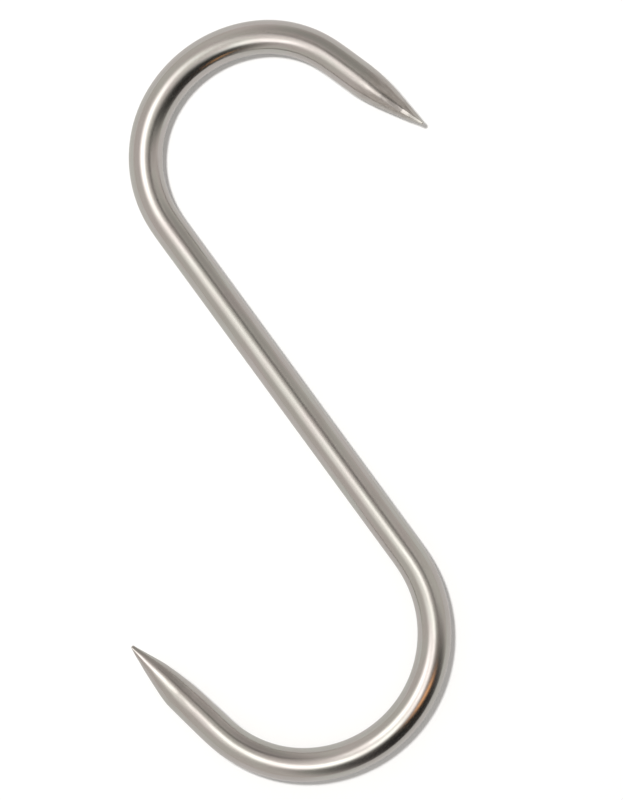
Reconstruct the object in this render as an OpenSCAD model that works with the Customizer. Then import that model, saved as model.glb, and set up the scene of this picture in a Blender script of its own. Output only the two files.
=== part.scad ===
// S hook bent from one round steel bar, with both ends ground to a point.
// It lies flat on the XY plane. +Y runs along the hook towards the upper bend, +X to the right
// and +Z up. The origin is under the middle of the outline. Lengths are in millimetres.
// A heading is an angle clockwise from +Y, as on a compass. Both ends are walked outwards from
// the shank and bend clockwise, so the two bends make an S.

/* [Bar] */
// Diameter of the round bar
bar_d = 8; // [6:0.5:12]

/* [Overall] */
// Length outside to outside, from the top of the upper bend to the bottom of the lower bend
hook_len = 180; // [150:5:260]
// Lean of the straight shank away from the length of the hook
shank_lean = 32; // [26:1:38]

/* [Upper bend] */
// Bend radius next to the shank, at the middle of the bar
upper_heel_r = 27; // [22:0.5:34]
// Turn of the bend next to the shank
upper_heel_turn = 65; // [50:1:75]
// Bend radius over the crown
upper_crown_r = 30; // [22:0.5:36]
// Turn of the crown
upper_crown_turn = 53; // [40:1:60]
// Bend radius before the point
upper_nose_r = 25; // [18:0.5:34]
// Angle of the upper point below level
upper_point_dip = 40.5; // [30:0.5:55]
// Straight bar between the bend and the ground part
upper_neck = 8; // [2:0.5:20]

/* [Lower bend] */
// Bend radius next to the shank and under the load, at the middle of the bar
lower_heel_r = 31; // [24:0.5:38]
// Turn of the bend next to the shank
lower_heel_turn = 123; // [100:1:130]
// Bend radius before the point
lower_nose_r = 29; // [20:0.5:38]
// Angle of the lower point above level
lower_point_rise = 48; // [36:1:60]
// Straight bar between the bend and the ground part
lower_neck = 9.5; // [2:0.5:20]

/* [Ground points] */
// Angle between the side of the point and its axis
point_half_angle = 14; // [11:0.5:18]
// Radius of the shoulder that blends the point into the bar
shoulder_r = 40; // [20:1:60]
// Diameter of the blunted tip
tip_d = 0.9; // [0.6:0.1:1.4]
// Number of flats ground around each tip
flat_count = 4; // [3:1:6]
// How much steeper the flats are than the side of the point
flat_extra = 2; // [1:0.5:3]
// Length of the flats on the upper tip
upper_flat_len = 5.5; // [3:0.5:7]
// Length of the flats on the lower tip
lower_flat_len = 4; // [3:0.5:7]

/* [Hidden] */
$fn = 96;
steel = [0.66, 0.65, 0.62];
bar_r = bar_d / 2;
tip_r = tip_d / 2;
level = 90;
half_turn = 180;
full_turn = 360;
arc_steps = 8;

// Each length of bar stops just short of the next, and a ball a hair proud of the bar joins them
joint_gap = 0.2;
ball_proud = 0.01;

// The point along its axis: the arc of the shoulder, then the straight side
shoulder_len = shoulder_r * sin(point_half_angle);
shoulder_edge = bar_r - shoulder_r * (1 - cos(point_half_angle));
point_len = shoulder_len + (shoulder_edge - tip_r) / tan(point_half_angle);

// Each end's bends from the shank outwards, as [turn, radius]
upper_bends = [
    [upper_heel_turn, upper_heel_r],
    [upper_crown_turn, upper_crown_r],
    [shank_lean + level + upper_point_dip - upper_heel_turn - upper_crown_turn, upper_nose_r]
];
lower_bends = [
    [lower_heel_turn, lower_heel_r],
    [shank_lean + level + lower_point_rise - lower_heel_turn, lower_nose_r]
];
upper_heading = -shank_lean;
lower_heading = half_turn - shank_lean;

// A place is [x, y, heading]. The place a straight length or one bend further on from place p
function ahead(p, length) = [p.x + length * sin(p[2]), p.y + length * cos(p[2]), p[2]];
function rounded(p, turn, r) = [
    p.x + r * (cos(p[2]) - cos(p[2] + turn)),
    p.y + r * (sin(p[2] + turn) - sin(p[2])),
    p[2] + turn
];

// The places at the start of each bend from place p, and at the end of the last one
function places(p, bends) = [
    for (i = 0, q = p; i <= len(bends);
         q = i < len(bends) ? rounded(q, bends[i][0], bends[i][1]) : q, i = i + 1) q
];

// How far place p lies in the compass direction dir
function along(p, dir) = p.x * sin(dir) + p.y * cos(dir);

// True where a bend from this heading comes round to where it reaches furthest in direction dir
function passes(heading, turn, dir) =
    (heading - dir - level + 2 * full_turn) % full_turn + turn >= full_turn;

// The furthest that the middle of the bar reaches in direction dir on the bends from place p
function reach(p, bends, dir) =
    let (stops = places(p, bends))
    max([
        for (i = [0:len(bends) - 1])
            let (turn = bends[i][0], r = bends[i][1], heading = stops[i][2])
            passes(heading, turn, dir)
                ? along(stops[i], dir) + r * (1 - sin(heading - dir))
                : max(along(stops[i], dir), along(stops[i + 1], dir))
    ]);

// The shank fills the length that the two bends leave
upper_rise = reach([0, 0, upper_heading], upper_bends, 0);
lower_drop = reach([0, 0, lower_heading], lower_bends, half_turn);
shank_len = (hook_len - bar_d - upper_rise - lower_drop) / cos(shank_lean);

// How far the outside of one end, and of the whole hook, reaches in direction dir from the
// lower end of the shank
function end_outside(start, bends, neck, dir) =
    let (bends_end = places(start, bends)[len(bends)])
    max(
        reach(start, bends, dir) + bar_r,
        along(ahead(bends_end, neck), dir) + bar_r,
        along(ahead(bends_end, neck + point_len), dir) + tip_r
    );
function outside(dir) = max(
    end_outside(ahead([0, 0, upper_heading], shank_len), upper_bends, upper_neck, dir),
    end_outside([0, 0, lower_heading], lower_bends, lower_neck, dir)
);
middle_x = (outside(level) - outside(level + half_turn)) / 2;
middle_y = (outside(0) - outside(half_turn)) / 2;

// Lays a piece that runs along +Z down along +Y
module lay() rotate([-level, 0, 0]) children();

// Moves on round a bend to the right, to where the next piece starts
module past_bend(turn, r) translate([r, 0, 0]) rotate([0, 0, -turn]) translate([-r, 0, 0]) children();

// The ball at a joint. Its poles lie along the bar, inside it
module joint_ball() lay() sphere(r = bar_r + ball_proud);

// A bend to the right, short of its joints by half a gap at each end
module bend(turn, r) {
    short = joint_gap * half_turn / (2 * PI * r);
    translate([r, 0, 0])
        rotate_extrude(start = half_turn - turn + short, angle = turn - 2 * short)
            translate([r, 0]) circle(r = bar_r);
}

// Half outline of the neck and the point, from the bend at the bottom to the tip at the top
module end_profile(neck)
    polygon([
        [0, joint_gap / 2],
        [bar_r, joint_gap / 2],
        for (k = [0:arc_steps])
            let (a = point_half_angle * k / arc_steps)
            [bar_r - shoulder_r * (1 - cos(a)), neck + shoulder_r * sin(a)],
        [tip_r, neck + point_len],
        [0, neck + point_len]
    ]);

// What the grinder takes off one side of the tip: all beyond a plane that leans in towards it
module flat_waste(tip, flat_len) {
    flat_edge = tip_r + flat_len * tan(point_half_angle);
    translate([flat_edge, 0, tip - flat_len])
        rotate([0, -point_half_angle - flat_extra, 0])
            translate([0, -bar_d, -flat_len]) cube([bar_d, 2 * bar_d, 3 * flat_len]);
}

// The straight neck and the ground point
module ground_end(neck, flat_len)
    lay() difference() {
        rotate_extrude() end_profile(neck);
        for (k = [0:flat_count - 1])
            rotate([0, 0, level + k * full_turn / flat_count])
                flat_waste(neck + point_len, flat_len);
    }

// One end of the hook from bend i outwards, each piece carried by the one before it
module hook_end(bends, neck, flat_len, i = 0) {
    joint_ball();
    if (i == len(bends)) ground_end(neck, flat_len);
    else {
        bend(bends[i][0], bends[i][1]);
        past_bend(bends[i][0], bends[i][1]) hook_end(bends, neck, flat_len, i + 1);
    }
}

// The shank, from its lower end, with an end of the hook at each end of it
module hook()
    color(steel)
        translate([-middle_x, -middle_y, bar_r + ball_proud])
            rotate([0, 0, -upper_heading]) {
                translate([0, joint_gap / 2, 0]) lay() cylinder(r = bar_r, h = shank_len - joint_gap);
                translate([0, shank_len, 0]) hook_end(upper_bends, upper_neck, upper_flat_len);
                rotate([0, 0, half_turn]) hook_end(lower_bends, lower_neck, lower_flat_len);
            }

hook();
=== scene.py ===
"""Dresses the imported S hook: one round steel bar, bent to an S and ground to a point at both ends.

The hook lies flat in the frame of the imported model, with +Y along its length towards the upper
bend and +Z up. Sizes are in metres and angles in degrees. A heading is an angle clockwise from
+Y, as on a compass, and each end is walked outwards from the middle of the shank.
"""

from __future__ import annotations

import logging
import math
from dataclasses import dataclass
from enum import Enum

import bpy
import numpy as np
from mathutils import Matrix

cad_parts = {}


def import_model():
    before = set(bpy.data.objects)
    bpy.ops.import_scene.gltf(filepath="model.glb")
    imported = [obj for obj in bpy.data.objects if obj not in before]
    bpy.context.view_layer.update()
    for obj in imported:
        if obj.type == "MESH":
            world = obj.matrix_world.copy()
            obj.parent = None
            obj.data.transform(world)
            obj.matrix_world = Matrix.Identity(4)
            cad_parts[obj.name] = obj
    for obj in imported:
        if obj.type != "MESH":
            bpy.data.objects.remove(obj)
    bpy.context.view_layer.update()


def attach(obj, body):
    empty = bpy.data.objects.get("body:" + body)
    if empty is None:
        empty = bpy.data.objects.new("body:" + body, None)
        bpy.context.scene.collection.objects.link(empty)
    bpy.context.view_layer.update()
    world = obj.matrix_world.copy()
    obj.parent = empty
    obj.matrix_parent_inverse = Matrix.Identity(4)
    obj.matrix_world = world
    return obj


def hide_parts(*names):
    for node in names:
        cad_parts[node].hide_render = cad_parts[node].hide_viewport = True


MM = 0.001
LOG = logging.getLogger("s_hook")
PLACE_ATTRIBUTE = "bar_place"
GROUND_ATTRIBUTE = "ground_part"
STRIP_MAP = "OFBake"


class Lay(Enum):
    """Which way the fine lines of a finish run on the bar."""

    ALONG = "along the bar"
    AROUND = "around the bar"


class Card(Enum):
    """What a studio card does to the light that the steel mirrors."""

    GLOW = "adds light"
    FLAG = "holds light back"


class Rays(Enum):
    """Which rays a backdrop answers with its own plain white."""

    CAMERA = "Is Camera Ray"
    GLOSSY = "Is Glossy Ray"
    TRANSMISSION = "Is Transmission Ray"


@dataclass(frozen=True)
class Bend:
    """One bend of a single radius, measured at the middle of the bar."""

    turn: float
    radius: float

    def length(self) -> float:
        """Returns the length of bar in the bend."""
        return math.radians(self.turn) * self.radius


@dataclass(frozen=True)
class Flat:
    """One flat left by the grinder on a point.

    The angle goes round the bar from the outer side of the bend, with 90 on top. The depth is
    the share of the half width that is gone at the tip, and it fades out over the length.
    """

    angle: float
    depth: float
    length: float


@dataclass(frozen=True)
class GroundPoint:
    """The ground point at one end, by the distance back from the tip.

    Each row of outline is that distance, then how far the outer and the inner flank of the
    bend stand off the axis of the bar.
    """

    outline: tuple[tuple[float, float, float], ...]
    flats: tuple[Flat, ...]
    nose: float = 0.35 * MM
    blend: float = 5 * MM
    scratched: float = 1.0
    wave: float = 0.004
    wave_phase: float = 0.0
    crest: float = 0.0
    crest_length: float = 6 * MM
    bright_tip: float = 0.0

    def length(self) -> float:
        """Returns the distance from the tip to where the bar is untouched."""
        return self.outline[-1][0]

    def widths(self, back: np.ndarray) -> tuple[np.ndarray, np.ndarray]:
        """Gives the two half widths of the point.

        Args:
            back: Distances from the tip.

        Returns:
            The outer and the inner half width at each distance.
        """
        rows = np.array(self.outline)
        fine = np.linspace(0, self.length(), 400)
        kernel = np.ones(17) / 17
        sides = []
        for column in (1, 2):
            rough = np.interp(fine, rows[:, 0], rows[:, column])
            padded = np.pad(rough, 8, mode="reflect", reflect_type="odd")
            sides.append(np.interp(back, fine, np.convolve(padded, kernel, mode="valid")))
        return sides[0], sides[1]

    def nose_share(self, back: np.ndarray) -> np.ndarray:
        """Gives the share of the half width that the rounded nose leaves.

        Args:
            back: Distances from the tip.

        Returns:
            Shares from 0 at the very tip to 1 behind the nose.
        """
        return np.sqrt(1 - np.clip(1 - back / self.nose, 0, 1) ** 2)

    def flat_share(self, back: np.ndarray, around: np.ndarray) -> np.ndarray:
        """Gives the share of the half width that the flats leave.

        Args:
            back: Distances from the tip, one for each ring.
            around: Angles round the bar, one for each point of a ring.

        Returns:
            A share for each ring and point.
        """
        share = np.ones((len(back), len(around)))
        for flat in self.flats:
            left = 1 - flat.depth * np.clip(1 - back / flat.length, 0, 1)
            facing = np.cos(around - math.radians(flat.angle))
            cut = left[:, None] / np.maximum(facing, 1e-3)[None, :]
            share = np.where(facing[None, :] > 0, np.minimum(share, cut), share)
        return share

    def waviness(self, back: np.ndarray, around: np.ndarray) -> np.ndarray:
        """Gives the slight unevenness that hand grinding leaves.

        Args:
            back: Distances from the tip, one for each ring.
            around: Angles round the bar, one for each point of a ring.

        Returns:
            A factor near 1 for each ring and point.
        """
        s = back[:, None] / MM
        a = around[None, :] + self.wave_phase
        swell = (
            np.sin(3 * a + 0.55 * s)
            + 0.7 * np.sin(5 * a - 0.8 * s + 1.3)
            + 0.5 * np.sin(2 * a + 1.7 * s + 0.4)
        )
        fade = np.clip(1 - back / self.length(), 0, 1)[:, None]
        return 1 + self.wave * swell * np.minimum(1, 4 * fade) / 2.2


@dataclass(frozen=True)
class HookEnd:
    """One end of the hook, from the shank outwards: its bends, straight neck and ground point."""

    name: str
    heading: float
    bends: tuple[Bend, ...]
    straight: float
    point: GroundPoint

    def length(self, half_shank: float) -> float:
        """Returns the length of bar from the middle of the shank to the tip."""
        return half_shank + sum(bend.length() for bend in self.bends) + self.straight

    def headings(self, half_shank: float, places: np.ndarray) -> np.ndarray:
        """Gives the heading of the bar along the end.

        Args:
            half_shank: Length of the straight shank to its middle.
            places: Distances along the bar from the middle of the shank.

        Returns:
            The heading at each place, in degrees.
        """
        stops = [0.0, half_shank]
        turned = [self.heading, self.heading]
        for bend in self.bends:
            stops.append(stops[-1] + bend.length())
            turned.append(turned[-1] + bend.turn)
        return np.interp(places, stops, turned)


@dataclass(frozen=True)
class FineLines:
    """How one set of fine lines lies on the bar."""

    lay: Lay
    pitch: float
    run: float
    tilt: float = 0.0

    def scales(self) -> tuple[float, float, float]:
        """Returns the scale of the noise along the bar and across it, twice."""
        long_way, short_way = 1 / self.run, 1 / self.pitch
        if self.lay is Lay.ALONG:
            return long_way, short_way, short_way
        return short_way, long_way, long_way


@dataclass(frozen=True)
class SteelFinish:
    """Bright drawn stainless bar, satin with a soft shine, and finely scratched where ground.

    The steel is a warm grey. Long soft patches of it lean to mauve and to green, as the light
    oxide on such bar does, and the ground points are streaked along the taper.
    """

    colour: tuple[float, float, float] = (0.579, 0.554, 0.522)
    mauve: tuple[float, float, float] = (0.596, 0.537, 0.528)
    green: tuple[float, float, float] = (0.548, 0.556, 0.508)
    dull: tuple[float, float, float] = (0.502, 0.470, 0.432)
    streak: tuple[float, float, float] = (0.405, 0.368, 0.332)
    ground: tuple[float, float, float] = (0.580, 0.540, 0.510)
    roughness: float = 0.17
    rough_patch: float = 0.05
    ground_roughness: float = 0.25
    bar_lines: FineLines = FineLines(Lay.ALONG, 0.22 * MM, 30 * MM)
    polish_lines: FineLines = FineLines(Lay.AROUND, 0.30 * MM, 9 * MM)
    ground_lines: FineLines = FineLines(Lay.ALONG, 0.16 * MM, 3.5 * MM, 14)
    cross_lines: FineLines = FineLines(Lay.ALONG, 0.20 * MM, 2.5 * MM, -22)
    tint_patches: FineLines = FineLines(Lay.ALONG, 2.4 * MM, 14 * MM)
    dull_patches: FineLines = FineLines(Lay.ALONG, 1.3 * MM, 7 * MM)
    ground_streaks: FineLines = FineLines(Lay.ALONG, 0.55 * MM, 5 * MM, 4)
    line_depth: float = 0.0002 * MM
    ground_depth: float = 0.0040 * MM

    def material(self) -> bpy.types.Material:
        """Returns the material, with all its nodes."""
        sheet = NodeSheet.for_material("hook_steel")
        lines_group = fine_lines_group()
        patch_group = patches_group()
        ground = sheet.add("ShaderNodeAttribute", attribute_name=GROUND_ATTRIBUTE).outputs["Fac"]
        spot = sheet.add("ShaderNodeAttribute", attribute_name=PLACE_ATTRIBUTE).outputs["Vector"]

        shine = sheet.add("ShaderNodeBsdfPrincipled")
        shine.inputs["Metallic"].default_value = 1.0
        sheet.join(self.tone(sheet, patch_group, spot, ground), shine.inputs["Base Color"])
        worn = sheet.lines(patch_group, spot, self.dull_patches)
        bar_rough = sheet.math("MULTIPLY_ADD", worn, self.rough_patch, self.roughness)
        sheet.join(sheet.mix(ground, bar_rough, self.ground_roughness), shine.inputs["Roughness"])

        drawn = sheet.lines(lines_group, spot, self.bar_lines)
        polished = sheet.lines(lines_group, spot, self.polish_lines)
        scratched = sheet.lines(lines_group, spot, self.ground_lines)
        crossed = sheet.lines(lines_group, spot, self.cross_lines)
        on_bar = sheet.mix(0.45, drawn, polished)
        on_point = sheet.mix(0.45, scratched, crossed)
        height = sheet.mix(ground, on_bar, on_point)
        depth = sheet.mix(ground, self.line_depth, self.ground_depth)
        bump = sheet.add("ShaderNodeBump")
        bump.inputs["Strength"].default_value = 1.0
        bump.inputs["Distance"].default_value = 1.0
        sheet.join(sheet.math("MULTIPLY", height, depth), bump.inputs["Height"])
        sheet.join(bump.outputs["Normal"], shine.inputs["Normal"])
        sheet.finish(shine.outputs["BSDF"])
        return sheet.owner

    def tone(
        self,
        sheet: NodeSheet,
        patch_group: bpy.types.NodeTree,
        spot: bpy.types.NodeSocket,
        ground: bpy.types.NodeSocket,
    ) -> bpy.types.NodeSocket:
        """Mixes the tones of the steel.

        Args:
            sheet: The material's sheet.
            patch_group: The group that draws soft patches.
            spot: The place on the straight bar.
            ground: How far the steel is ground, from 0 to 1.

        Returns:
            The colour of the steel.
        """
        tint = sheet.lines(patch_group, spot, self.tint_patches)
        dulled = sheet.lines(patch_group, spot, self.dull_patches)
        streaks = sheet.lines(patch_group, spot, self.ground_streaks)
        tinted = sheet.mix_colour(tint, (*self.green, 1), (*self.mauve, 1))
        bar = sheet.mix_colour(0.5, (*self.colour, 1), tinted)
        bar = sheet.mix_colour(sheet.math("MULTIPLY", ground, 0.7), bar, (*self.ground, 1))
        bar = sheet.mix_colour(sheet.math("MULTIPLY", dulled, 0.30), bar, (*self.dull, 1))
        streaked = sheet.math("MULTIPLY", streaks, sheet.math("MULTIPLY", ground, 0.50))
        return sheet.mix_colour(streaked, bar, (*self.streak, 1))


@dataclass(frozen=True)
class TableFinish:
    """The plain white table top. It shows white to the camera and keeps the hook's shadow."""

    colour: tuple[float, float, float] = (0.85, 0.85, 0.845)
    lift: float = 0.12

    def material(self) -> bpy.types.Material:
        """Returns the material, with all its nodes."""
        sheet = NodeSheet.for_material("table_white")
        matt = sheet.add("ShaderNodeBsdfDiffuse")
        matt.inputs["Color"].default_value = (*self.colour, 1)
        glow = sheet.add("ShaderNodeEmission")
        path = sheet.add("ShaderNodeLightPath")
        seen = path.outputs[Rays.CAMERA.value]
        for kind in (Rays.GLOSSY, Rays.TRANSMISSION):
            seen = sheet.math("MAXIMUM", seen, path.outputs[kind.value])
        sheet.join(sheet.math("MULTIPLY", seen, self.lift), glow.inputs["Strength"])
        both = sheet.add("ShaderNodeAddShader")
        sheet.join(matt.outputs[0], both.inputs[0])
        sheet.join(glow.outputs[0], both.inputs[1])
        sheet.finish(both.outputs[0])
        return sheet.owner


class NodeSheet:
    """A node tree that is being filled, with short ways to add and join its nodes."""

    def __init__(self, tree: bpy.types.NodeTree, owner: bpy.types.ID | None = None) -> None:
        """Takes the tree to fill.

        Args:
            tree: The node tree.
            owner: The material that the tree belongs to, if any.
        """
        self.tree = tree
        self.owner = owner

    @classmethod
    def for_material(cls, name: str) -> "NodeSheet":
        """Makes a new material with an empty tree.

        Args:
            name: The name of the material.

        Returns:
            The sheet that fills its tree.
        """
        material = bpy.data.materials.new(name)
        material.use_nodes = True
        material.node_tree.nodes.clear()
        return cls(material.node_tree, material)

    @classmethod
    def for_group(cls, name: str, inputs: dict[str, str], outputs: dict[str, str]) -> "NodeSheet":
        """Makes a new shader node group with its sockets.

        Args:
            name: The name of the group.
            inputs: The kind of each input socket by its name.
            outputs: The kind of each output socket by its name.

        Returns:
            The sheet that fills the group.
        """
        tree = bpy.data.node_groups.new(name, "ShaderNodeTree")
        for in_out, sockets in (("INPUT", inputs), ("OUTPUT", outputs)):
            for socket_name, kind in sockets.items():
                tree.interface.new_socket(socket_name, in_out=in_out, socket_type=kind)
        return cls(tree)

    def add(self, kind: str, **settings: object) -> bpy.types.Node:
        """Adds a node.

        Args:
            kind: Blender's name of the node type.
            settings: Properties to set on the node.

        Returns:
            The new node.
        """
        node = self.tree.nodes.new(kind)
        for name, value in settings.items():
            setattr(node, name, value)
        return node

    def join(self, source: object, target: bpy.types.NodeSocket) -> None:
        """Feeds a socket.

        Args:
            source: An output socket, or the plain value to set.
            target: The input socket.
        """
        if isinstance(source, bpy.types.NodeSocket):
            self.tree.links.new(source, target)
        else:
            target.default_value = source

    def math(self, operation: str, *values: object) -> bpy.types.NodeSocket:
        """Adds a Math node.

        Args:
            operation: What it does.
            values: Its sockets or numbers, in order.

        Returns:
            The result.
        """
        node = self.add("ShaderNodeMath", operation=operation)
        for value, socket in zip(values, node.inputs):
            self.join(value, socket)
        return node.outputs[0]

    def mix(self, factor: object, low: object, high: object) -> bpy.types.NodeSocket:
        """Mixes two numbers.

        Args:
            factor: Where the result lies from low to high.
            low: The result at 0.
            high: The result at 1.

        Returns:
            The mixed number.
        """
        node = self.add("ShaderNodeMix", data_type="FLOAT")
        for value, socket in ((factor, 0), (low, 2), (high, 3)):
            self.join(value, node.inputs[socket])
        return node.outputs[0]

    def mix_colour(self, factor: object, low: object, high: object) -> bpy.types.NodeSocket:
        """Mixes two colours.

        Args:
            factor: Where the result lies from low to high.
            low: The colour at 0.
            high: The colour at 1.

        Returns:
            The mixed colour.
        """
        node = self.add("ShaderNodeMix", data_type="RGBA")
        self.join(factor, node.inputs[0])
        self.join(low, node.inputs[6])
        self.join(high, node.inputs[7])
        return node.outputs[2]

    def lines(
        self, group: bpy.types.NodeTree, place: bpy.types.NodeSocket, lines: FineLines
    ) -> bpy.types.NodeSocket:
        """Places a group that draws along the bar, with one set of values.

        Args:
            group: The node group.
            place: The place on the straight bar.
            lines: The values.

        Returns:
            What the group draws, from 0 to 1.
        """
        node = self.add("ShaderNodeGroup", node_tree=group)
        self.join(place, node.inputs["Place"])
        node.inputs["Scale"].default_value = lines.scales()
        node.inputs["Tilt"].default_value = math.radians(lines.tilt)
        return node.outputs[0]

    def stretched_noise(self, detail: float, roughness: float) -> bpy.types.NodeSocket:
        """Draws noise inside a group, turned by its Tilt and stretched by its Scale.

        Args:
            detail: How many finer layers the noise has.
            roughness: How strong the finer layers are.

        Returns:
            The noise, from 0 to 1.
        """
        given = self.add("NodeGroupInput")
        turn = self.add("ShaderNodeVectorRotate", rotation_type="Z_AXIS")
        self.join(given.outputs["Place"], turn.inputs["Vector"])
        self.join(given.outputs["Tilt"], turn.inputs["Angle"])
        scale = self.add("ShaderNodeVectorMath", operation="MULTIPLY")
        self.join(turn.outputs[0], scale.inputs[0])
        self.join(given.outputs["Scale"], scale.inputs[1])
        noise = self.add("ShaderNodeTexNoise")
        noise.inputs["Scale"].default_value = 1.0
        noise.inputs["Detail"].default_value = detail
        noise.inputs["Roughness"].default_value = roughness
        self.join(scale.outputs[0], noise.inputs["Vector"])
        return noise.outputs["Fac"]

    def finish(self, shader: bpy.types.NodeSocket) -> None:
        """Joins the shader to the material's output.

        Args:
            shader: The shader's output socket.
        """
        output = self.add("ShaderNodeOutputMaterial")
        self.join(shader, output.inputs["Surface"])


def fine_lines_group() -> bpy.types.NodeTree:
    """Builds the group that draws fine lines in one direction on the straight bar.

    Returns:
        The node group.
    """
    sheet = NodeSheet.for_group(
        "fine_lines",
        {"Place": "NodeSocketVector", "Scale": "NodeSocketVector", "Tilt": "NodeSocketFloat"},
        {"Lines": "NodeSocketFloat"},
    )
    result = sheet.add("NodeGroupOutput")
    sheet.join(sheet.stretched_noise(detail=3.0, roughness=0.65), result.inputs["Lines"])
    return sheet.tree


def patches_group() -> bpy.types.NodeTree:
    """Builds the group of soft patches, which shift the tone and the shine a little.

    Returns:
        The node group.
    """
    sheet = NodeSheet.for_group(
        "soft_patches",
        {"Place": "NodeSocketVector", "Scale": "NodeSocketVector", "Tilt": "NodeSocketFloat"},
        {"Patch": "NodeSocketFloat"},
    )
    noise = sheet.stretched_noise(detail=2.0, roughness=0.5)
    spread = sheet.add("ShaderNodeMapRange", interpolation_type="SMOOTHSTEP")
    spread.inputs["From Min"].default_value = 0.35
    spread.inputs["From Max"].default_value = 0.65
    sheet.join(noise, spread.inputs["Value"])
    result = sheet.add("NodeGroupOutput")
    sheet.join(spread.outputs["Result"], result.inputs["Patch"])
    return sheet.tree


def soft_card_group() -> bpy.types.NodeTree:
    """Builds the group that fades a studio card out from its middle.

    Returns:
        The node group.
    """
    sheet = NodeSheet.for_group(
        "soft_card",
        {
            "Place": "NodeSocketVector",
            "Strength": "NodeSocketFloat",
            "Edge": "NodeSocketFloat",
            "Hem": "NodeSocketFloat",
        },
        {"Strength": "NodeSocketFloat"},
    )
    given = sheet.add("NodeGroupInput")
    length = sheet.add("ShaderNodeVectorMath", operation="LENGTH")
    sheet.join(given.outputs["Place"], length.inputs[0])
    power = sheet.math("POWER", length.outputs["Value"], given.outputs["Edge"])
    fade = sheet.math("EXPONENT", sheet.math("MULTIPLY", power, -1.0))
    spot = sheet.add("ShaderNodeNewGeometry").outputs["Position"]
    parts = sheet.add("ShaderNodeSeparateXYZ")
    sheet.join(spot, parts.inputs[0])
    hem = sheet.add("ShaderNodeMapRange", interpolation_type="SMOOTHSTEP")
    sheet.join(parts.outputs["Z"], hem.inputs["Value"])
    sheet.join(sheet.math("MULTIPLY", given.outputs["Hem"], 0.5), hem.inputs["From Min"])
    sheet.join(sheet.math("MULTIPLY", given.outputs["Hem"], 1.5), hem.inputs["From Max"])
    inside = sheet.math("MULTIPLY", fade, hem.outputs["Result"])
    result = sheet.add("NodeGroupOutput")
    sheet.join(sheet.math("MULTIPLY", inside, given.outputs["Strength"]), result.inputs["Strength"])
    return sheet.tree


UPPER_POINT = GroundPoint(
    outline=(
        (0.0 * MM, 0.62 * MM, 0.26 * MM),
        (1.0 * MM, 0.76 * MM, 0.46 * MM),
        (2.0 * MM, 1.00 * MM, 0.74 * MM),
        (4.0 * MM, 1.52 * MM, 1.35 * MM),
        (6.0 * MM, 1.99 * MM, 1.82 * MM),
        (8.0 * MM, 2.46 * MM, 2.30 * MM),
        (10.0 * MM, 2.93 * MM, 2.77 * MM),
        (12.0 * MM, 3.33 * MM, 3.21 * MM),
        (14.0 * MM, 3.64 * MM, 3.54 * MM),
        (16.0 * MM, 3.87 * MM, 3.83 * MM),
        (18.0 * MM, 3.98 * MM, 3.98 * MM),
        (19.5 * MM, 3.999 * MM, 3.999 * MM),
    ),
    flats=(
        Flat(42, 0.16, 6.5 * MM),
        Flat(99, 0.15, 6.0 * MM),
        Flat(104, 0.09, 11.0 * MM),
        Flat(140, 0.13, 7.0 * MM),
        Flat(200, 0.08, 9.0 * MM),
        Flat(270, 0.12, 6.0 * MM),
        Flat(330, 0.10, 5.0 * MM),
    ),
    wave=0.007,
    wave_phase=0.4,
    crest=0.62 * MM,
    bright_tip=0.8,
)

LOWER_POINT = GroundPoint(
    outline=(
        (0.0 * MM, 0.02 * MM, 0.72 * MM),
        (1.0 * MM, 0.34 * MM, 0.90 * MM),
        (2.0 * MM, 0.66 * MM, 1.18 * MM),
        (4.0 * MM, 1.18 * MM, 1.70 * MM),
        (6.0 * MM, 1.76 * MM, 2.22 * MM),
        (8.0 * MM, 2.28 * MM, 2.72 * MM),
        (10.0 * MM, 2.76 * MM, 3.03 * MM),
        (12.0 * MM, 3.22 * MM, 3.30 * MM),
        (14.0 * MM, 3.62 * MM, 3.53 * MM),
        (15.5 * MM, 3.86 * MM, 3.70 * MM),
        (18.0 * MM, 3.92 * MM, 3.82 * MM),
        (22.0 * MM, 3.95 * MM, 3.90 * MM),
        (26.0 * MM, 3.999 * MM, 3.999 * MM),
    ),
    flats=(
        Flat(60, 0.12, 3.5 * MM),
        Flat(125, 0.10, 4.0 * MM),
        Flat(180, 0.06, 14.0 * MM),
        Flat(240, 0.12, 4.0 * MM),
        Flat(300, 0.10, 3.5 * MM),
    ),
    scratched=0.3,
    wave_phase=2.1,
)


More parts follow.
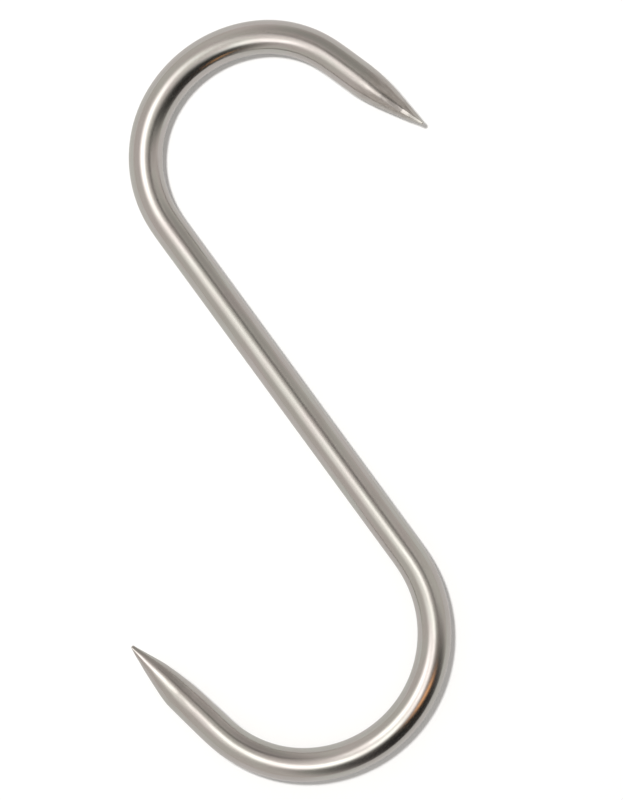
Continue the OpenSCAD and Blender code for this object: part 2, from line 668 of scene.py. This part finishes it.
@dataclass
class SHook:
    """The hook itself: one bar, swept along the middle line of the S."""

    lift: float = 4.0096 * MM
    half_shank: float = 48.26 * MM
    shank_middle: tuple[float, float] = (2.5502 * MM, 2.3829 * MM)
    ease: float = 6 * MM
    ring_points: int = 96
    bar_step: float = 0.8 * MM
    point_step: float = 0.14 * MM
    nose_rings: int = 10
    strip_rows: int = 4
    strip_margin: float = 0.03
    finish: SteelFinish = SteelFinish()
    ends: tuple[HookEnd, ...] = (
        HookEnd(
            "upper",
            -32,
            (Bend(65, 27 * MM), Bend(53, 30 * MM), Bend(44.5, 25 * MM)),
            26.89 * MM,
            UPPER_POINT,
        ),
        HookEnd("lower", 148, (Bend(123, 31 * MM), Bend(47, 29 * MM)), 28.52 * MM, LOWER_POINT),
    )

    def stations(self, end: HookEnd) -> np.ndarray:
        """Chooses where the rings of one end lie, closest together at the tip.

        Args:
            end: The end of the hook.

        Returns:
            Distances from the middle of the shank, growing towards the tip.
        """
        total = end.length(self.half_shank)
        ground = total - end.point.length()
        nose = total - end.point.nose
        bar = np.linspace(0, ground, round(ground / self.bar_step) + 1)
        point = np.linspace(ground, nose, round((nose - ground) / self.point_step) + 1)
        lean = np.linspace(0, math.pi / 2, self.nose_rings + 1)
        return np.concatenate([bar, point[1:], nose + end.point.nose * np.sin(lean[1:])])

    def walk(self, end: HookEnd, stations: np.ndarray) -> tuple[np.ndarray, np.ndarray]:
        """Follows the middle line of the bar along one end.

        Args:
            end: The end of the hook.
            stations: Distances from the middle of the shank.

        Returns:
            The places in the plane of the S, and the headings in radians.
        """
        step = 0.05 * MM
        total = end.length(self.half_shank)
        fine = np.arange(-self.ease, total + self.ease, step)
        headings = np.radians(end.headings(self.half_shank, fine))
        width = round(self.ease / step) | 1
        eased = np.convolve(headings, np.ones(width) / width, mode="same")
        inside = (fine >= -step / 2) & (fine <= total + step)
        fine, eased = fine[inside], eased[inside]
        rates = np.stack([np.sin(eased), np.cos(eased)], axis=1)
        moved = np.cumsum((rates[1:] + rates[:-1]) / 2 * step, axis=0)
        path = np.vstack([[0, 0], moved]) + np.array(self.shank_middle)
        places = np.stack([np.interp(stations, fine, path[:, k]) for k in (0, 1)], axis=1)
        return places, np.interp(stations, fine, eased)

    def rings(self, end: HookEnd) -> tuple[np.ndarray, np.ndarray, np.ndarray]:
        """Makes the rings of points of one end.

        Args:
            end: The end of the hook.

        Returns:
            The points of each ring, their places on the straight bar, and how far each ring is
            ground, from 0 to 1.
        """
        stations = self.stations(end)
        back = stations[-1] - stations
        around = np.linspace(0, 2 * math.pi, self.ring_points, endpoint=False)
        outer, inner = end.point.widths(np.minimum(back, end.point.length()))
        near_tip = np.clip(1 - back / end.point.crest_length, 0, 1)
        height = (outer + inner) / 2 + end.point.crest * near_tip
        side = np.where(np.cos(around)[None, :] > 0, outer[:, None], inner[:, None])
        side = side * np.cos(around)
        rise = height[:, None] * np.sin(around)
        point = end.point
        left = point.flat_share(back, around) * point.waviness(back, around)
        left = left * point.nose_share(back)[:, None]
        middle = ((outer - inner) / 2)[:, None]
        side = middle + (side - middle) * left
        rise = rise * left
        places, headings = self.walk(end, stations)
        outwards = np.stack([-np.cos(headings), np.sin(headings)], axis=1)
        flat = places[:, None, :] + side[:, :, None] * outwards[:, None, :]
        points = np.concatenate([flat, (self.lift + rise)[:, :, None]], axis=2)
        sign = 1 if end.name == "upper" else -1
        along = np.broadcast_to(sign * stations[:, None], side.shape)
        straight = np.stack([along, sign * side, rise], axis=2)
        ground = np.clip((point.length() - back) / point.blend, 0, 1) * point.scratched
        return points, straight, ground * (1 - point.bright_tip * near_tip)

    def chain(self) -> tuple[np.ndarray, np.ndarray, np.ndarray]:
        """Puts the rings of both ends in one row, from the lower tip to the upper tip.

        Returns:
            The points of each ring, their places on the straight bar, and how far each ring is
            ground. The first and the last ring have shrunk to the tips.
        """
        upper, lower = (self.rings(end) for end in self.ends)
        shift = 1 - self.ring_points // 2
        turned = [np.roll(array[:, ::-1], shift, axis=1)[:0:-1] for array in lower[:2]]
        points = np.concatenate([turned[0], upper[0]])
        straight = np.concatenate([turned[1], upper[1]])
        return points, straight, np.concatenate([lower[2][:0:-1], upper[2]])

    def faces(self, count: int) -> tuple[np.ndarray, np.ndarray]:
        """Joins the rings to each other and to the two tips.

        Args:
            count: How many rings there are. The tips are the two points after the last ring.

        Returns:
            The quads between the rings, and the triangles round the tips.
        """
        size = self.ring_points
        grid = np.arange(count * size).reshape(count, size)
        after = np.roll(grid, -1, axis=1)
        quads = np.stack([grid[:-1], after[:-1], after[1:], grid[1:]], axis=2).reshape(-1, 4)
        tips = [np.full(size, count * size + k) for k in (0, 1)]
        lower = np.stack([after[0], grid[0], tips[0]], axis=1)
        upper = np.stack([grid[-1], after[-1], tips[1]], axis=1)
        return quads, np.concatenate([lower, upper])

    def strip_map(self, along: np.ndarray) -> np.ndarray:
        """Lays the skin of the bar flat in a few rows, one below the other.

        Args:
            along: How far each ring is from the lower tip, with both tips.

        Returns:
            The place on the map of each corner of each face.
        """
        size = self.ring_points
        near, far = along[1:-2, None], along[2:-1, None]
        step = np.arange(size)[None, :]
        ones = np.ones((1, size))
        quad_along = np.stack([near * ones, near * ones, far * ones, far * ones], axis=2)
        quad_round = np.stack([step, step + 1, step + 1, step], axis=2) + 0 * quad_along
        placed = [self.on_strip(quad_along.reshape(-1, 4), quad_round.reshape(-1, 4))]
        for ring, tip, sides in ((along[1], along[0], (1, 0)), (along[-2], along[-1], (0, 1))):
            tip_along = np.array([ring, ring, tip]) + np.zeros((size, 3))
            tip_round = step.T + np.array([*sides, 0.5])
            placed.append(self.on_strip(tip_along, tip_round))
        return np.concatenate([part.ravel() for part in placed])

    def on_strip(self, along: np.ndarray, turned: np.ndarray) -> np.ndarray:
        """Gives the place of each corner on the rows of the flat skin.

        Args:
            along: How far the corners of each face are from the lower tip.
            turned: How many points round its ring each corner is.

        Returns:
            The place of each corner, as shares of the map's width and height.
        """
        total = sum(end.length(self.half_shank) for end in self.ends)
        share = along / total * self.strip_rows
        row = np.floor(share.mean(axis=1, keepdims=True))
        inside = 1 - 2 * self.strip_margin
        across = self.strip_margin + inside * (share - row)
        up = (row + self.strip_margin + inside * turned / self.ring_points) / self.strip_rows
        return np.stack([across, up], axis=2)

    def build(self) -> bpy.types.Object:
        """Sweeps the bar from tip to tip as one closed mesh.

        Returns:
            The new object.
        """
        points, straight, ground = self.chain()
        ends = (0, -1)
        tips = np.array([points[k].mean(axis=0) for k in ends])
        tip_places = np.array([straight[k].mean(axis=0) for k in ends])
        quads, fans = self.faces(len(points) - 2)
        mesh = bpy.data.meshes.new("s_hook")
        vertices = np.concatenate([points[1:-1].reshape(-1, 3), tips])
        mesh.from_pydata(vertices.tolist(), [], quads.tolist() + fans.tolist())
        places = np.concatenate([straight[1:-1].reshape(-1, 3), tip_places])
        mesh.attributes.new(PLACE_ATTRIBUTE, "FLOAT_VECTOR", "POINT")
        mesh.attributes[PLACE_ATTRIBUTE].data.foreach_set("vector", places.ravel())
        shares = np.concatenate([np.repeat(ground[1:-1], self.ring_points), ground[list(ends)]])
        mesh.attributes.new(GROUND_ATTRIBUTE, "FLOAT", "POINT")
        mesh.attributes[GROUND_ATTRIBUTE].data.foreach_set("value", shares)
        along = straight[:, 0, 0] - straight[0, 0, 0]
        strip = mesh.uv_layers.new(name=STRIP_MAP)
        strip.data.foreach_set("uv", self.strip_map(along))
        mesh.polygons.foreach_set("use_smooth", [True] * len(mesh.polygons))
        mesh.update()
        piece = bpy.data.objects.new("s_hook", mesh)
        bpy.context.scene.collection.objects.link(piece)
        return piece

    def dress(self, piece: bpy.types.Object) -> None:
        """Gives the bar its steel and its place in the frame.

        Args:
            piece: The swept bar.
        """
        piece.data.materials.append(self.finish.material())
        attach(piece, "root")
        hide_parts("hook")


@dataclass
class Table:
    """The plain white table that the hook lies on. It isn't part of the object."""

    side: float = 6.0
    finish: TableFinish = TableFinish()

    def build(self) -> bpy.types.Object:
        """Returns the table top."""
        half = self.side / 2
        corners = [(-half, -half, 0), (half, -half, 0), (half, half, 0), (-half, half, 0)]
        mesh = bpy.data.meshes.new("table_top")
        mesh.from_pydata(corners, [], [(0, 1, 2, 3)])
        mesh.materials.append(self.finish.material())
        top = bpy.data.objects.new("table_top", mesh)
        bpy.context.scene.collection.objects.link(top)
        return top


@dataclass(frozen=True)
class Camera:
    """The camera, straight above the hook with a long lens and a slight roll."""

    aim: tuple[float, float] = (7.811 * MM, -0.227 * MM)
    distance: float = 1.0
    aim_height: float = 4.01 * MM
    view_length: float = 188.632 * MM
    roll: float = 4.19
    sensor: float = 36.0

    def build(self) -> bpy.types.Object:
        """Returns the camera, set as the scene's own."""
        data = bpy.data.cameras.new("overhead")
        data.sensor_width = self.sensor
        data.lens = self.sensor * self.distance / self.view_length
        data.clip_start = 0.05
        data.clip_end = 20
        camera = bpy.data.objects.new("overhead", data)
        camera.location = (*self.aim, self.aim_height + self.distance)
        camera.rotation_euler = (0, 0, -math.radians(self.roll))
        bpy.context.scene.collection.objects.link(camera)
        bpy.context.scene.camera = camera
        return camera


@dataclass(frozen=True)
class SoftLamp:
    """A soft box that lights the table. The steel doesn't mirror it.

    The level is how bright it alone makes a pure white sheet on the table, as a share of white.
    """

    name: str
    azimuth: float
    polar: float
    distance: float
    side: float
    level: float

    def build(self) -> bpy.types.Object:
        """Returns the lamp, aimed at the middle of the hook."""
        data = bpy.data.lights.new(self.name, "AREA")
        data.shape = "SQUARE"
        data.size = self.side
        spread = math.cos(math.radians(self.polar)) / (math.pi * self.distance) ** 2
        data.energy = self.level / spread
        lamp = bpy.data.objects.new(self.name, data)
        lamp.matrix_world = hung(self.azimuth, self.polar, self.distance, 0)
        lamp.visible_camera = False
        lamp.visible_glossy = False
        bpy.context.scene.collection.objects.link(lamp)
        return lamp


@dataclass(frozen=True)
class StudioCard:
    """A soft edged card that only the steel mirrors. It isn't part of the object."""

    name: str
    kind: Card
    azimuth: float
    polar: float
    distance: float
    turn: float
    half_size: tuple[float, float]
    strength: float
    edge: float
    hem: float = 6 * MM
    shift: tuple[float, float] = (0, 0)
    tint: tuple[float, float, float] = (1, 1, 1)
    faintest: float = 0.004

    def material(self) -> bpy.types.Material:
        """Returns the card's material, clear but for what it adds or holds back."""
        sheet = NodeSheet.for_material(self.name)
        place = sheet.add("ShaderNodeTexCoord").outputs["Object"]
        soft = sheet.add("ShaderNodeGroup", node_tree=bpy.data.node_groups["soft_card"])
        sheet.join(place, soft.inputs["Place"])
        soft.inputs["Strength"].default_value = self.strength
        soft.inputs["Hem"].default_value = self.hem
        soft.inputs["Edge"].default_value = self.edge
        clear = sheet.add("ShaderNodeBsdfTransparent")
        if self.kind is Card.FLAG:
            sheet.join(sheet.math("SUBTRACT", 1.0, soft.outputs[0]), clear.inputs["Color"])
            sheet.finish(clear.outputs[0])
            return sheet.owner
        glow = sheet.add("ShaderNodeEmission")
        glow.inputs["Color"].default_value = (*self.tint, 1)
        sheet.join(soft.outputs[0], glow.inputs["Strength"])
        both = sheet.add("ShaderNodeAddShader")
        sheet.join(clear.outputs[0], both.inputs[0])
        sheet.join(glow.outputs[0], both.inputs[1])
        sheet.finish(both.outputs[0])
        sheet.owner.cycles.emission_sampling = "NONE"
        return sheet.owner

    def build(self) -> bpy.types.Object:
        """Returns the card, hung face on to the middle of the hook."""
        reach = math.log(self.strength / self.faintest) ** (1 / self.edge)
        corners = [(-reach, -reach, 0), (reach, -reach, 0), (reach, reach, 0), (-reach, reach, 0)]
        mesh = bpy.data.meshes.new(self.name)
        mesh.from_pydata(corners, [], [(0, 1, 2, 3)])
        mesh.materials.append(self.material())
        card = bpy.data.objects.new(self.name, mesh)
        spread = Matrix.Translation((*self.shift, 0)) @ Matrix.Diagonal((*self.half_size, 1, 1))
        card.matrix_world = hung(self.azimuth, self.polar, self.distance, self.turn) @ spread
        for unseen in ("camera", "diffuse", "transmission", "volume_scatter", "shadow"):
            setattr(card, f"visible_{unseen}", False)
        bpy.context.scene.collection.objects.link(card)
        return card


def hung(azimuth: float, polar: float, distance: float, turn: float) -> Matrix:
    """Gives the place of a lamp or card that faces the middle of the hook.

    Args:
        azimuth: Its direction over the table, counterclockwise from +X.
        polar: Its angle from straight up.
        distance: Its distance from the middle of the hook.
        turn: How far it is turned about its own middle.

    Returns:
        The matrix, with +Z pointing away from the hook.
    """
    swing = Matrix.Rotation(math.radians(azimuth), 4, "Z")
    tip = Matrix.Rotation(math.radians(polar), 4, "Y")
    spin = Matrix.Rotation(math.radians(turn), 4, "Z")
    return swing @ tip @ spin @ Matrix.Translation((0, 0, distance))


@dataclass(frozen=True)
class Studio:
    """The room round the table: its plain light, the lamp, the cards and the world.

    The steel mirrors a room that is lighter than the light which the walls give the table, as
    the soft boxes overhead are part of what it mirrors.
    """

    tint: tuple[float, float, float] = (1.045, 1.0, 0.955)
    walls: float = 0.38
    mirrored: float = 0.627
    lamps: tuple[SoftLamp, ...] = (SoftLamp("key_box", 135, 16, 1.4, 0.14, 0.74),)
    cards: tuple[StudioCard, ...] = (
        StudioCard("grey_sheet", Card.FLAG, 0, 0, 0.0003, 0, (0.8, 0.8), 0.30, 4.0, hem=0.0001),
        StudioCard("window", Card.GLOW, 150, 25, 0.7, 0, (0.20, 0.20), 1.6, 3.0),
        StudioCard("soft_panel", Card.GLOW, -150, 20, 0.8, 0, (0.35, 0.35), 0.5, 4.0),
        StudioCard("overhead_strip", Card.GLOW, -90, 20, 0.5, 0, (0.12, 0.10), 1.4, 3.0),
        StudioCard("dark_wall", Card.FLAG, -50, 60, 1.4, 0, (1.3, 1.0), 0.95, 4.0),
        StudioCard("dark_slat", Card.FLAG, 32, 24, 0.25, 0, (0.035, 0.15), 0.6, 3.0),
        StudioCard("dark_side", Card.FLAG, 60, 60, 0.5, 0, (0.30, 0.25), 0.4, 3.0),
        StudioCard("warm_strip", Card.GLOW, -55, 55, 0.15, 45, (0.02, 0.01), 1.6, 2.5, tint=(1, 0.5, 0.2)),
    )

    def build(self) -> None:
        """Makes the world and what hangs in it, and sets how colours are shown."""
        scene = bpy.context.scene
        world = bpy.data.worlds.new("room")
        world.use_nodes = True
        sheet = NodeSheet(world.node_tree)
        path = sheet.add("ShaderNodeLightPath")
        camera = path.outputs[Rays.CAMERA.value]
        level = sheet.mix(path.outputs[Rays.GLOSSY.value], self.walls, self.mirrored)
        plain = world.node_tree.nodes["Background"]
        sheet.join(sheet.mix_colour(camera, (*self.tint, 1), (1, 1, 1, 1)), plain.inputs["Color"])
        sheet.join(sheet.mix(camera, level, 1.0), plain.inputs["Strength"])
        scene.world = world
        soft_card_group()
        for item in (*self.lamps, *self.cards):
            item.build()
        scene.view_settings.view_transform = "Standard"


def main() -> None:
    """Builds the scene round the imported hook."""
    logging.basicConfig(level=logging.INFO, format="%(name)s: %(message)s")
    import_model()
    Camera().build()
    hook = SHook()
    piece = hook.build()
    hook.dress(piece)
    LOG.info("%s: %d vertices", piece.name, len(piece.data.vertices))
    top = Table().build()
    LOG.info("%s: stage", top.name)
    Studio().build()


if __name__ == "__main__":
    main()
